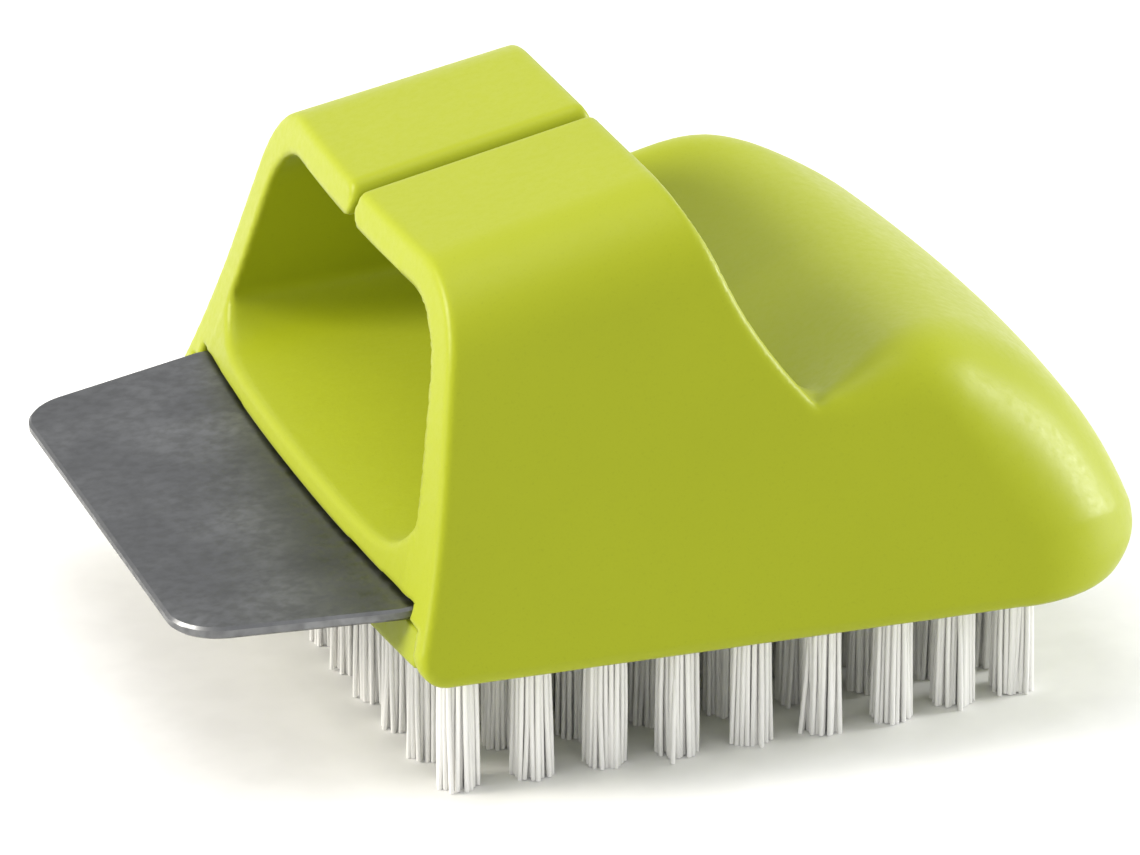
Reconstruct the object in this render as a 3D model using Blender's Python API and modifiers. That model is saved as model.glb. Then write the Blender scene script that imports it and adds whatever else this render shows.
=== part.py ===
"""A palm brush for salt blocks: a moulded handle with a split finger loop and a dished palm rest,
a stainless scraper held between the handle and the brush block, and nylon tufts under the block.

Lengths are in metres. X runs from the scraper to the rear, Y across the brush, and Z up from the
floor that the tufts stand on. The solids are drawn from a datum on the front face, in the middle,
at the height of the scraper, and each object is then moved so that the whole stands centred.
"""

import math

import bmesh
import bpy
import numpy as np

MM = 0.001
OVERRUN = 12.0 * MM
GAP = 0.3 * MM

# Handle, outside
BODY_LENGTH = 95.3 * MM
HALF_WIDTH = 50.6 * MM
SKIRT_BOTTOM = 16.2 * MM
SIDE_TAPER = 0.036
WALL_FLARE = 0.39
FRONT_LEAN = 0.232
FRONT_BOW = 1.7 * MM
FRONT_CORNER = 1.6 * MM
SKIRT_CORNER = 3.8 * MM
SKIRT_EDGE = 0.9 * MM
REAR_TUCK = 2.6 * MM
REAR_TUCK_HEIGHT = 4.3 * MM
REAR_CORNER = 17.5 * MM
CORNER_LEAST = 3.6 * MM
REAR_BOW = 1.4 * MM

# Palm rest, with its heights over the floor of the dish
FLOOR_THICKNESS = 1.7 * MM
HUMP_RISE = 20.5 * MM
HUMP_LENGTH = 32.7 * MM
HUMP_ROUNDNESS = 1.9
SHOULDER_RADIUS = 6.0 * MM
SHOULDER_FADE = 18.0 * MM
CREST_BLEND = 2.0 * MM
RIDGE_RISE = 15.2 * MM

# Finger loop
FINGER_ROOM = 28.8 * MM
LOOP_TOP_AT = 8.6 * MM
LOOP_RISE = 0.219
LOOP_CORNER = 15.0 * MM
LOOP_EDGE = 1.2 * MM
LOOP_END = 37.9 * MM
LOOP_THICKNESS = 4.4 * MM
LOOP_FOOT = 51.8 * MM
LOOP_WALL = 7.2 * MM
LOOP_WALL_RISE = 5.0 * MM
TUNNEL_FLARE = 0.33
TUNNEL_CORNER = 11.0 * MM
MOUTH_EDGE = 1.3 * MM
SPLIT_WIDTH = 1.2 * MM
SPLIT_EDGE = 2.0 * MM

# Handle, inside
SKIRT_WALL = 3.2 * MM
LEDGE = 1.6 * MM
ROOF = 3.2 * MM
CAVITY_FRONT = 18.5 * MM
RIB = 2.0 * MM
BOSS_RADIUS = 3.1 * MM

# Scraper
BLADE_REACH = 25.1 * MM
BLADE_THICKNESS = 1.5 * MM
BLADE_MARGIN = 8.3 * MM
BLADE_TAPER = 6.3 * MM
BLADE_TIP_CORNER = 7.5 * MM
BLADE_SLOPE = 0.0757
BLADE_EDGE = 0.35 * MM
TANG_LENGTH = 16.0 * MM
TANG_CORNER = 3.0 * MM
TANG_CLEARANCE = 0.5 * MM
PEG_RADIUS = 2.9 * MM
PEG_X = 9.5 * MM
PEG_Y = 24.0 * MM
PEG_DEPTH = 3.2 * MM

# Brush block
BLOCK_RISE = 0.6 * MM
BLOCK_THICKNESS = 7.2 * MM
BLOCK_RECESS = 1.6 * MM
TANG_SINK = 1.3 * MM
BLOCK_STEP = 17.8 * MM
SLICE = 1.2 * MM

# Tufts
TUFT_ROWS = 9
TUFT_COLUMNS = 11
TUFT_FIRST = 6.2 * MM
TUFT_REAR_MARGIN = 15.5 * MM
TUFT_SIDE_MARGIN = 6.8 * MM
TUFT_BOW = 1.7 * MM
TUFT_RING = 1.6 * MM
STRAND_RADIUS = 0.85 * MM
STRAND_SINK = 0.5 * MM
RING_STRANDS = 4
STRAND_SIDES = 4
TUFT_TURN = math.radians(18)
TURN_BY_TUFT = 7
TURN_BY_ROW = 3
TURNS = 5
SPLAY_SHARE = 1.12
REAR_DRAW_SHARES = (0.0, 0.0, 0.0, 0.0, 0.0, 0.0, 0.01, 0.05, 0.07)

# Screws
SCREW_HEAD = 2.8 * MM
SCREW_HEAD_HEIGHT = 2.1 * MM
SCREW_HEAD_FLAT = 2.2 * MM
SCREW_SHANK = 1.45 * MM
SCREW_LENGTH = 9.0 * MM
SCREW_POINT = 1.6 * MM
SCREW_WEB = 3.8 * MM
SCREW_CROSS = 3.0 * MM
SCREW_CROSS_WIDTH = 0.8 * MM
SCREW_CROSS_DEPTH = 1.1 * MM
SCREW_CELLS = ((1.5, 4.5), (6.5, 2.5))
SCREW_MERGE = 0.01 * MM
HEAD_CLEARANCE = 0.4 * MM

# Counts of steps round curves, and the angle past which an edge is drawn sharp
SMOOTH_ANGLE = math.radians(32)
BEVEL_ANGLE = math.radians(60)
CYLINDER_STEPS = 24
SCREW_STEPS = 18
CORNER_STEPS = 3
REAR_STEPS = 7
TUNNEL_STEPS = 7
TIP_STEPS = 7
FOOT_STEPS = 25
SETTLING_STEPS = 4

# Heights, each worked out from the piece below it
BLOCK_BOTTOM = SKIRT_BOTTOM + BLOCK_RISE
BLOCK_TOP = BLOCK_BOTTOM + BLOCK_THICKNESS
BLADE_LEVEL = BLOCK_TOP - TANG_SINK
SCREW_SEAT = BLOCK_TOP - SCREW_WEB
PILOT_TOP = SCREW_SEAT + SCREW_LENGTH + 2 * GAP
LEDGE_LEVEL = BLOCK_TOP + GAP
DISH_FLOOR = LEDGE_LEVEL + FLOOR_THICKNESS
DISH_RIDGE = DISH_FLOOR + RIDGE_RISE
HUMP_LOW = SKIRT_BOTTOM + REAR_TUCK_HEIGHT
HUMP_TOP = DISH_FLOOR + HUMP_RISE
LOOP_TOP = DISH_FLOOR + FINGER_ROOM + LOOP_THICKNESS

# Places along the brush and across it
MIDDLE_X = (BODY_LENGTH - BLADE_REACH) / 2
HUMP_CENTRE = BODY_LENGTH - HUMP_LENGTH
TUFT_PITCH = (BODY_LENGTH - TUFT_FIRST - TUFT_REAR_MARGIN) / (TUFT_ROWS - 1)
TUFT_HALF_SPAN = HALF_WIDTH - TUFT_SIDE_MARGIN
BLADE_ROOT_HALF = HALF_WIDTH - BLADE_MARGIN
BLADE_TIP_HALF = BLADE_ROOT_HALF - BLADE_TAPER

# Height along the middle of the dish, and along its ridge beside the wall: shares of the run from
# the front face to the rear, and shares of the climb from the dish's floor to the hump's top.
DISH_RUN_SHARES = (-0.15, 0.00, 0.25, 0.37, 0.48, 0.58, 0.68, 0.755, 0.83, 1.10)
DISH_CLIMB_SHARES = (-0.02, 0.00, 0.11, 0.18, 0.30, 0.50, 0.745, 0.885, 0.99, 1.45)
RIDGE_RUN_SHARES = (-0.15, 0.53, 0.567, 0.609, 0.651, 0.693, 0.735, 0.80, 0.87, 1.10)
RIDGE_CLIMB_SHARES = (0.74, 0.745, 0.86, 0.97, 1.04, 1.08, 1.10, 1.10, 1.08, 1.06)
DISH_POWER_AT_SHARES = (0.40, 0.55, 0.65, 0.78)
DISH_POWERS = (12.0, 6.0, 3.5, 2.6)
SHOULDER_TURN_SHARE = 0.85
CREST_END_SHARE = 0.5

# The loop's rear edge seen from the side: shares of the run from the top's end to the foot, at
# shares of the fall from the top to the foot.
FOOT_FALL_SHARES = (-0.30, 0.00, 0.25, 0.43, 0.56, 0.675, 0.77, 0.865, 0.94, 1.00, 1.50)
FOOT_RUN_SHARES = (-0.26, 0.00, 0.22, 0.35, 0.455, 0.57, 0.68, 0.80, 0.91, 1.00, 1.90)


def smooth_through(x, xs, zs):
    """A smooth curve through the points xs, zs that never overshoots them (a monotone cubic)."""
    xs, zs = np.asarray(xs, float), np.asarray(zs, float)
    steps = np.diff(xs)
    slopes = np.diff(zs) / steps
    both = slopes[:-1] * slopes[1:]
    middle = np.where(both > 0, 2 * both / np.where(both > 0, slopes[:-1] + slopes[1:], 1), 0)
    tangents = np.concatenate([slopes[:1], middle, slopes[-1:]])
    x = np.clip(x, xs[0], xs[-1])
    i = np.clip(np.searchsorted(xs, x) - 1, 0, len(steps) - 1)
    t = (x - xs[i]) / steps[i]
    start = (2 * t**3 - 3 * t**2 + 1) * zs[i] + (t**3 - 2 * t**2 + t) * steps[i] * tangents[i]
    end = (3 * t**2 - 2 * t**3) * zs[i + 1] + (t**3 - t**2) * steps[i] * tangents[i + 1]
    return start + end


def ease(t):
    """0 to 1 with a level start and end."""
    t = np.clip(t, 0, 1)
    return t * t * (3 - 2 * t)


def half_width(x, z):
    """Half the width of the handle, whose walls lean in as they rise and part towards the rear."""
    return HALF_WIDTH + SIDE_TAPER * x - WALL_FLARE * (z - SKIRT_BOTTOM)


def front_x(y, z):
    """The front face: it leans back as it rises, and its middle stands forward."""
    return FRONT_LEAN * (z - BLADE_LEVEL) + FRONT_BOW * (y / BLADE_ROOT_HALF) ** 2


def loop_top(x):
    return LOOP_TOP + LOOP_RISE * (x - LOOP_TOP_AT)


def loop_rear(z):
    """Where the loop ends at height z: steep at the top, sweeping back to its foot."""
    top, foot = loop_top(LOOP_END), DISH_RIDGE
    falls = (top - z) / (top - foot)
    runs = smooth_through(falls, FOOT_FALL_SHARES, FOOT_RUN_SHARES)
    return LOOP_END + runs * (LOOP_FOOT - LOOP_END)


def arch_half_width(x, depth):
    """Half the loop's width at a depth under its top: a round corner, then the wall's line."""
    corner = LOOP_CORNER
    slant = math.hypot(1, WALL_FLARE)
    wall = half_width(x, loop_top(x) - depth)
    centre = half_width(x, loop_top(x) - corner) - corner * slant
    round_part = centre + np.sqrt(np.maximum(corner**2 - (corner - depth) ** 2, 0))
    return np.where(depth < corner * (1 - WALL_FLARE / slant), round_part, wall)


def hump_rear(z, inset=0.0):
    """The rear of the palm rest at height z, a squarish quarter round above its widest level, and
    the radius of its corners, whose axis stands still as the rear comes forward."""
    height = HUMP_TOP - HUMP_LOW - inset
    share = np.clip((z - HUMP_LOW) / height, 0, 1) ** HUMP_ROUNDNESS
    end = HUMP_CENTRE + (HUMP_LENGTH - inset) * (1 - share) ** (1 / HUMP_ROUNDNESS)
    radius = max(CORNER_LEAST, end - BODY_LENGTH + REAR_CORNER)
    tuck = REAR_TUCK * np.clip((HUMP_LOW - z) / REAR_TUCK_HEIGHT, 0, 1) ** 2
    return end - tuck, radius


def climb(x, run_shares, climb_shares):
    """A height along the dish, read from shares of its run and of its climb."""
    share = smooth_through(x / BODY_LENGTH, run_shares, climb_shares)
    return DISH_FLOOR + share * HUMP_RISE


def rear_bow(x, y):
    """How far the dish's lines bow forward at the sides, as the rear does."""
    return REAR_BOW * ease(x / BODY_LENGTH) * (y / HALF_WIDTH) ** 2


def ridge_half_width(x):
    return half_width(x, climb(x, RIDGE_RUN_SHARES, RIDGE_CLIMB_SHARES))


def over_crest(dish, x, y):
    """The dish's height eased into the hump's, so that the two meet over a round crest. lift is how
    far the dish stands over the hump. Past the crest the surface leaves the hump at a low slope."""
    bow = REAR_BOW * (y / ridge_half_width(x)) ** 2
    run = np.clip((x + bow - HUMP_CENTRE) / HUMP_LENGTH, 0, 1)
    rise = (1 - run**HUMP_ROUNDNESS) ** (1 / HUMP_ROUNDNESS)
    hump = HUMP_LOW + (HUMP_TOP - HUMP_LOW) * rise
    end = CREST_END_SHARE * CREST_BLEND
    lift = dish - hump
    eased = (np.clip(lift, -CREST_BLEND, end) + CREST_BLEND) ** 2 / (4 * CREST_BLEND)
    turned = (end + CREST_BLEND) / (2 * CREST_BLEND)
    return dish - eased - turned * np.maximum(lift - end, 0)


def dish_height(x, y, drop=0.0):
    """Height of the tunnel's floor and the palm dish: a middle line and a ridge line by the walls,
    joined across by a power of the distance from the middle, and rounded over the shoulder."""
    along = x + rear_bow(x, y)
    middle = climb(along, DISH_RUN_SHARES, DISH_CLIMB_SHARES)
    ridge = climb(along, RIDGE_RUN_SHARES, RIDGE_CLIMB_SHARES)
    power = np.interp(along / BODY_LENGTH, DISH_POWER_AT_SHARES, DISH_POWERS)
    reach = ridge_half_width(x)
    across = np.clip(np.abs(y) / reach, 0, 1)
    lip = np.clip(MOUTH_EDGE - (x - front_x(y, DISH_FLOOR)), 0, MOUTH_EDGE)
    front = MOUTH_EDGE - np.sqrt(MOUTH_EDGE**2 - lip**2)
    radius = SHOULDER_RADIUS * ease((x - LOOP_FOOT) / SHOULDER_FADE) + GAP
    turn = np.clip((radius - reach + np.abs(y)) / radius, 0, SHOULDER_TURN_SHARE)
    shoulder = (radius - GAP) * (1 - np.sqrt(1 - turn**2))
    dish = middle + (ridge - middle) * across**power
    return over_crest(dish, x, y) - front - shoulder - drop


def new_object(name, mesh, collection):
    obj = bpy.data.objects.new(name, mesh)
    obj.location.x = -MIDDLE_X
    collection.objects.link(obj)
    if collection is cutters:
        obj.hide_render = True
        obj.display_type = "WIRE"
    return obj


def from_bmesh(name, shape, collection):
    mesh = bpy.data.meshes.new(name)
    bmesh.ops.recalc_face_normals(shape, faces=shape.faces)
    shape.to_mesh(mesh)
    shape.free()
    mesh.shade_smooth()
    mesh.set_sharp_from_angle(angle=SMOOTH_ANGLE)
    return new_object(name, mesh, collection)


def loft(name, rings, collection):
    """A closed solid through a stack of closed rings with as many points each."""
    shape = bmesh.new()
    rows = [[shape.verts.new(point) for point in ring] for ring in rings]
    count = len(rows[0])
    for low, high in zip(rows, rows[1:]):
        for i in range(count):
            j = (i + 1) % count
            shape.faces.new((low[i], low[j], high[j], high[i]))
    shape.faces.new(rows[0][::-1])
    shape.faces.new(rows[-1])
    return from_bmesh(name, shape, collection)


def prism(name, points, low, high, collection, axis="y"):
    """A flat outline carried from low to high along Y or Z."""
    if axis == "y":
        rings = [[(x, level, z) for x, z in points] for level in (low, high)]
    else:
        rings = [[(x, y, level) for x, y in points] for level in (low, high)]
    return loft(name, rings, collection)


def cylinder(name, radius, x, y, low, high, collection):
    shape = bmesh.new()
    bmesh.ops.create_cone(
        shape,
        cap_ends=True,
        segments=CYLINDER_STEPS,
        radius1=radius,
        radius2=radius,
        depth=high - low,
    )
    bmesh.ops.translate(shape, verts=shape.verts, vec=(x, y, (low + high) / 2))
    return from_bmesh(name, shape, collection)


def box(name, low, high, collection):
    shape = bmesh.new()
    bmesh.ops.create_cube(shape, size=1)
    size = [b - a for a, b in zip(low, high)]
    bmesh.ops.scale(shape, verts=shape.verts, vec=size)
    bmesh.ops.translate(shape, verts=shape.verts, vec=[(a + b) / 2 for a, b in zip(low, high)])
    return from_bmesh(name, shape, collection)


def combine(obj, operation, *others):
    for other in others:
        modifier = obj.modifiers.new(f"{operation.lower()} {other.name}", "BOOLEAN")
        modifier.operation = operation
        modifier.solver = "EXACT"
        modifier.object = other


def material(name, color, roughness, metallic=0.0):
    made = bpy.data.materials.new(name)
    made.use_nodes = True
    made.diffuse_color = (*color, 1)
    shader = made.node_tree.nodes["Principled BSDF"]
    shader.inputs["Base Color"].default_value = (*color, 1)
    shader.inputs["Roughness"].default_value = roughness
    shader.inputs["Metallic"].default_value = metallic
    return made


# Places of the points round a ring: along half the front, a side, and half the rear
FRONT_SHARES = (0.0, 0.25, 0.5, 0.75)
SIDE_SHARES = (0.0, 0.18, 0.36, 0.52, 0.64, 0.71, 0.77, 0.83, 0.89, 0.95)
REAR_SHARES = (0.66, 0.33, 0.0)


def outline(level, tilt=0.0, side=0.0, front=0.0, rear=0.0, start=None, of_loop=False):
    """One closed ring round the handle: bowed front, straight leaning sides and a round rear.

    level is its height in the middle of the loop and tilt its share of the loop top's rise. side,
    front and rear are insets. start replaces the front face with a straight cut at that x, and
    of_loop ends the ring square at the loop's foot, past the edge that is cut there later.
    """
    middle = (LOOP_TOP_AT + LOOP_END) / 2

    def height(x):
        return level + tilt * LOOP_RISE * (x - middle)

    def width(x):
        return arch_half_width(x, loop_top(x) - height(x)) - side

    def front_at(y):
        x = np.zeros_like(y)
        for _ in range(SETTLING_STEPS):
            x = (front_x(y, height(x)) if start is None else np.full_like(y, start)) + front
        return x

    bow = REAR_BOW
    last, radius = hump_rear(level, rear)
    if of_loop:
        bow, last, radius = 0.0, LOOP_FOOT, LOOP_EDGE
    near = float(width(front_at(np.array([BLADE_ROOT_HALF]))[0] + FRONT_CORNER))
    y_front = np.array(FRONT_SHARES) * (near - FRONT_CORNER)
    ends = front_at(np.append(y_front, near - FRONT_CORNER))
    x_first = ends[-1] + FRONT_CORNER
    turn = np.radians(np.linspace(180, 90, CORNER_STEPS + 1))[:-1]
    x_corner = x_first + FRONT_CORNER * np.cos(turn)
    y_corner = near - FRONT_CORNER + FRONT_CORNER * np.sin(turn)
    x_side = x_first + np.array(SIDE_SHARES) * (last - radius - x_first)
    far = float(width(last - radius))
    turn = np.radians(np.linspace(90, 0, REAR_STEPS + 1))
    y_turn = far - radius + radius * np.sin(turn)
    x_turn = last - radius + radius * np.cos(turn) - bow * (y_turn / far) ** 2
    y_rear = (far - radius) * np.array(REAR_SHARES)
    x_rear = last - bow * (y_rear / far) ** 2
    xs = np.concatenate([ends[:-1], x_corner, x_side, x_turn, x_rear])
    ys = np.concatenate([y_front, y_corner, width(x_side), y_turn, y_rear])
    xs = np.concatenate([xs, xs[-2:0:-1]])
    ys = np.concatenate([ys, -ys[-2:0:-1]])
    return list(zip(xs.tolist(), ys.tolist(), height(xs).tolist()))


# Heights of the rings: angles up the skirt's round front corner, shares from its end to the hump's
# top, shares from there to the start of the loop's corner, and depths inside that corner.
SKIRT_ANGLES = tuple(math.radians(angle) for angle in (0, 20, 40, 60))
LOW_SHARES = (0.0, 0.13, 0.27, 0.42, 0.56, 0.69, 0.79, 0.86, 0.91, 0.945, 0.97, 0.985, 0.995)
RISING_SHARES = (0.12, 0.45, 1.0)
CORNER_SHARES = (0.72, 0.50, 0.32, 0.18, 0.09)
EDGE_SHARES = (0.62, 0.25, 0.0)


def rounding(radius, depth):
    """How far a round edge of that radius draws in at a depth from the face that it ends on."""
    return radius - math.sqrt(radius**2 - max(radius - depth, 0.0) ** 2)


def handle_rings():
    rings = []
    for angle in SKIRT_ANGLES:
        rise = SKIRT_CORNER * (1 - math.cos(angle))
        front = SKIRT_CORNER * (1 - math.sin(angle))
        rings.append(outline(SKIRT_BOTTOM + rise, side=rounding(SKIRT_EDGE, rise), front=front))
    low = SKIRT_BOTTOM + SKIRT_CORNER
    for share in LOW_SHARES:
        rings.append(outline(low + share * (HUMP_TOP - low)))
    middle = loop_top((LOOP_TOP_AT + LOOP_END) / 2)
    corner_depth = LOOP_CORNER * (1 - WALL_FLARE / math.hypot(1, WALL_FLARE))
    start = middle - corner_depth
    for share in RISING_SHARES:
        rings.append(outline(HUMP_TOP + share * (start - HUMP_TOP), tilt=share, of_loop=True))
    for share in CORNER_SHARES:
        rings.append(outline(middle - corner_depth * share, tilt=1.0, of_loop=True))
    for share in EDGE_SHARES:
        depth = LOOP_EDGE * share
        inset = rounding(LOOP_EDGE, depth)
        rings.append(outline(middle - depth, tilt=1.0, front=inset, of_loop=True))
    return rings


# Stations of the dish along the handle, as shares of its length, and across it, as shares of the
# half width at the ridge
DISH_STATION_SHARES = (
    -0.10, 0.00, 0.005, 0.014, 0.07, 0.15, 0.23, 0.30, 0.36, 0.41, 0.46, 0.50, 0.54, 0.58,
    0.62, 0.66, 0.70, 0.725, 0.75, 0.775, 0.80, 0.825, 0.855, 0.90, 1.06,
)
ACROSS_SHARES = (0.0, 0.22, 0.42, 0.58, 0.70, 0.79, 0.86, 0.91, 0.94, 0.965, 0.985, 1.01, 1.25)


def dish_block(name, drop):
    """Everything under the floor of the tunnel and dish, less a depth of drop."""
    rings = []
    shares = np.array(ACROSS_SHARES)
    shares = np.concatenate([-shares[:0:-1], shares])
    for station in DISH_STATION_SHARES:
        x = station * BODY_LENGTH
        y = shares * ridge_half_width(x)
        xs = x + front_x(y, DISH_FLOOR) * (1 - np.clip(station, 0, 1)) - rear_bow(x, y)
        zs = dish_height(xs, y, drop)
        top = list(zip(xs.tolist(), y.tolist(), zs.tolist()))
        rings.append(top + [(xs[-1], y[-1], -OVERRUN), (xs[0], y[0], -OVERRUN)])
    return loft(name, rings, cutters)


def tunnel_half_width(x, z):
    level = DISH_FLOOR + LOOP_WALL_RISE
    return half_width(x, level) - LOOP_WALL - TUNNEL_FLARE * (z - level)


def tunnel_ring(x_of, grow):
    """The loop's inside seen along X: leaning walls and a flat roof with round corners."""
    corner = TUNNEL_CORNER + grow
    slant = math.hypot(1, TUNNEL_FLARE)
    lean = math.atan(TUNNEL_FLARE)
    z = DISH_FLOOR - OVERRUN
    x = x_of(0.0, z)
    half = [(x, tunnel_half_width(x, z) + grow * slant, z)]
    for step in range(TUNNEL_STEPS + 1):
        angle = lean + (math.pi / 2 - lean) * step / TUNNEL_STEPS
        x = 0.0
        for _ in range(SETTLING_STEPS):
            centre = loop_top(x) - LOOP_THICKNESS + grow - corner
            wall = tunnel_half_width(x, centre) + grow * slant
            y = wall - corner * slant + corner * math.cos(angle)
            z = centre + corner * math.sin(angle)
            x = x_of(y, z)
        half.append((x, y, z))
    return half + [(x, -y, z) for x, y, z in half[::-1]]


# The mouth's round edge: shares of its radius, going in and growing wider
MOUTH_SHARES = ((0.0, 0.75), (0.3, 0.25), (1.0, 0.0))


def tunnel():
    mouth = [(-OVERRUN, MOUTH_EDGE)]
    mouth += [(MOUTH_EDGE * back, MOUTH_EDGE * grow) for back, grow in MOUTH_SHARES]
    rings = []
    for back, grow in mouth:
        rings.append(tunnel_ring(lambda y, z, back=back: front_x(y, z) + back, grow))
    rings.append(tunnel_ring(lambda y, z: LOOP_FOOT + OVERRUN, 0.0))
    return loft("tunnel_cutter", rings, cutters)


def behind_loop():
    """The space behind the loop's sweeping rear edge."""
    falls = np.linspace(FOOT_FALL_SHARES[0], FOOT_FALL_SHARES[-1], FOOT_STEPS + 1)
    top = loop_top(LOOP_END)
    zs = top - falls * (top - DISH_RIDGE)
    points = [(float(loop_rear(z)), float(z)) for z in zs]
    points += [(BODY_LENGTH + OVERRUN, points[-1][1]), (BODY_LENGTH + OVERRUN, points[0][1])]
    reach = HALF_WIDTH + OVERRUN
    return prism("behind_loop_cutter", points, -reach, reach, cutters)


def split():
    """The gap between the loop's two arms, whose ends are rounded above and below."""
    half = SPLIT_WIDTH / 2
    arc = np.linspace(0, math.pi / 2, CORNER_STEPS + 1).tolist()
    top = [(half + SPLIT_EDGE * (1 - math.sin(a)), -SPLIT_EDGE * (1 - math.cos(a))) for a in arc]
    low = [(y, -LOOP_THICKNESS - z) for y, z in top[::-1]]
    wide = half + SPLIT_EDGE
    right = [(wide, OVERRUN)] + top + low + [(wide, -LOOP_THICKNESS - LOOP_EDGE)]
    ring = right + [(-y, z) for y, z in right[::-1]]
    rings = []
    for x in (-OVERRUN, LOOP_END + OVERRUN):
        rings.append([(x, y, loop_top(x) + z) for y, z in ring])
    return loft("split_cutter", rings, cutters)


def blade_top(x):
    return BLADE_LEVEL + BLADE_SLOPE * x


def blade_plane(name, x0, x1, half, above, below, collection):
    """A block that follows the scraper's slope, from below under its top face to above over it."""
    corners = [(x0, blade_top(x0) - below), (x1, blade_top(x1) - below)]
    corners += [(x1, blade_top(x1) + above), (x0, blade_top(x0) + above)]
    return prism(name, corners, -half, half, collection)


# Each screw stands in the middle of a cell between four tufts
SCREW_PLACES = tuple(
    (TUFT_FIRST + TUFT_PITCH * row, side * 2 * TUFT_HALF_SPAN / (TUFT_COLUMNS - 1) * column)
    for row, column in SCREW_CELLS
    for side in (-1, 1)
)
CAVITY_SHARES = (-0.2, 0.25, 0.45, 0.62, 0.76, 0.87, 0.95)


def cavity():
    """The hollow under the palm rest, with the ribs and screw bosses left standing in it."""
    inset = SKIRT_WALL + LEDGE
    rings = []
    for share in CAVITY_SHARES:
        level = SKIRT_BOTTOM + share * (HUMP_TOP - ROOF - SKIRT_BOTTOM)
        rings.append(outline(level, side=inset, rear=inset, start=CAVITY_FRONT))
    hollow = loft("cavity_cutter", rings, cutters)
    low, high = SKIRT_BOTTOM - 2 * OVERRUN, HUMP_TOP + OVERRUN
    column = SCREW_PLACES[-1][1]
    kept = []
    for i, y in enumerate((-column, 0.0, column)):
        start, end = (0.0, y - RIB / 2, low), (BODY_LENGTH + OVERRUN, y + RIB / 2, high)
        kept.append(box(f"long_rib_{i + 1}", start, end, cutters))
    reach = HALF_WIDTH + OVERRUN
    for i, x in enumerate((TUFT_FIRST + TUFT_PITCH * (TUFT_ROWS // 2), SCREW_PLACES[-1][0])):
        start, end = (x - RIB / 2, -reach, low), (x + RIB / 2, reach, high)
        kept.append(box(f"cross_rib_{i + 1}", start, end, cutters))
    low, high = low - GAP, high + GAP
    for i, (x, y) in enumerate(SCREW_PLACES):
        kept.append(cylinder(f"boss_{i + 1}", BOSS_RADIUS, x, y, low, high, cutters))
    combine(kept[0], "UNION", *kept[1:])
    combine(hollow, "DIFFERENCE", kept[0])
    combine(hollow, "INTERSECT", dish_block("cavity_roof_cutter", ROOF))
    return hollow


def front_step(name, x, level):
    """Everything in front of x and above a level, where the block steps down under the tang."""
    reach = HALF_WIDTH + OVERRUN
    return box(name, (-2 * OVERRUN, -reach, level), (x, reach, LEDGE_LEVEL + OVERRUN), cutters)


def block_pocket():
    """The seat of the brush block between the skirts, open at the front under the scraper."""
    wall = SKIRT_WALL
    levels = (SKIRT_BOTTOM - OVERRUN, BLOCK_BOTTOM, BLOCK_BOTTOM + SLICE + GAP, LEDGE_LEVEL)
    rings = [outline(z, side=wall, rear=wall, front=-OVERRUN) for z in levels]
    pocket = loft("pocket_cutter", rings, cutters)
    step = front_step("pocket_step", BLOCK_STEP - GAP, BLADE_LEVEL - BLADE_THICKNESS)
    combine(pocket, "DIFFERENCE", step)
    slot = blade_plane(
        "blade_slot_cutter",
        -OVERRUN,
        BLOCK_STEP,
        BLADE_ROOT_HALF + TANG_CLEARANCE,
        GAP,
        2 * BLADE_THICKNESS,
        cutters,
    )
    combine(pocket, "UNION", slot)
    low, high = BLADE_LEVEL - PEG_DEPTH, DISH_FLOOR - GAP
    for i, side in enumerate((-1, 1)):
        peg = cylinder(f"peg_{i + 1}", PEG_RADIUS, PEG_X, side * PEG_Y, low, high, cutters)
        combine(pocket, "DIFFERENCE", peg)
    return pocket


def handle_shell():
    shell = loft("handle_shell", handle_rings(), parts)
    opening = tunnel()
    combine(opening, "UNION", behind_loop())
    combine(opening, "DIFFERENCE", dish_block("dish_cutter", 0.0))
    combine(shell, "DIFFERENCE", opening, split(), cavity(), block_pocket())
    for i, (x, y) in enumerate(SCREW_PLACES):
        pilot = cylinder(f"pilot_{i + 1}", SCREW_SHANK + GAP, x, y, BLOCK_BOTTOM, PILOT_TOP, cutters)
        combine(shell, "DIFFERENCE", pilot)
    shell.data.materials.append(material("lime_green_plastic", (0.42, 0.50, 0.03), 0.38))
    return shell


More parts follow.
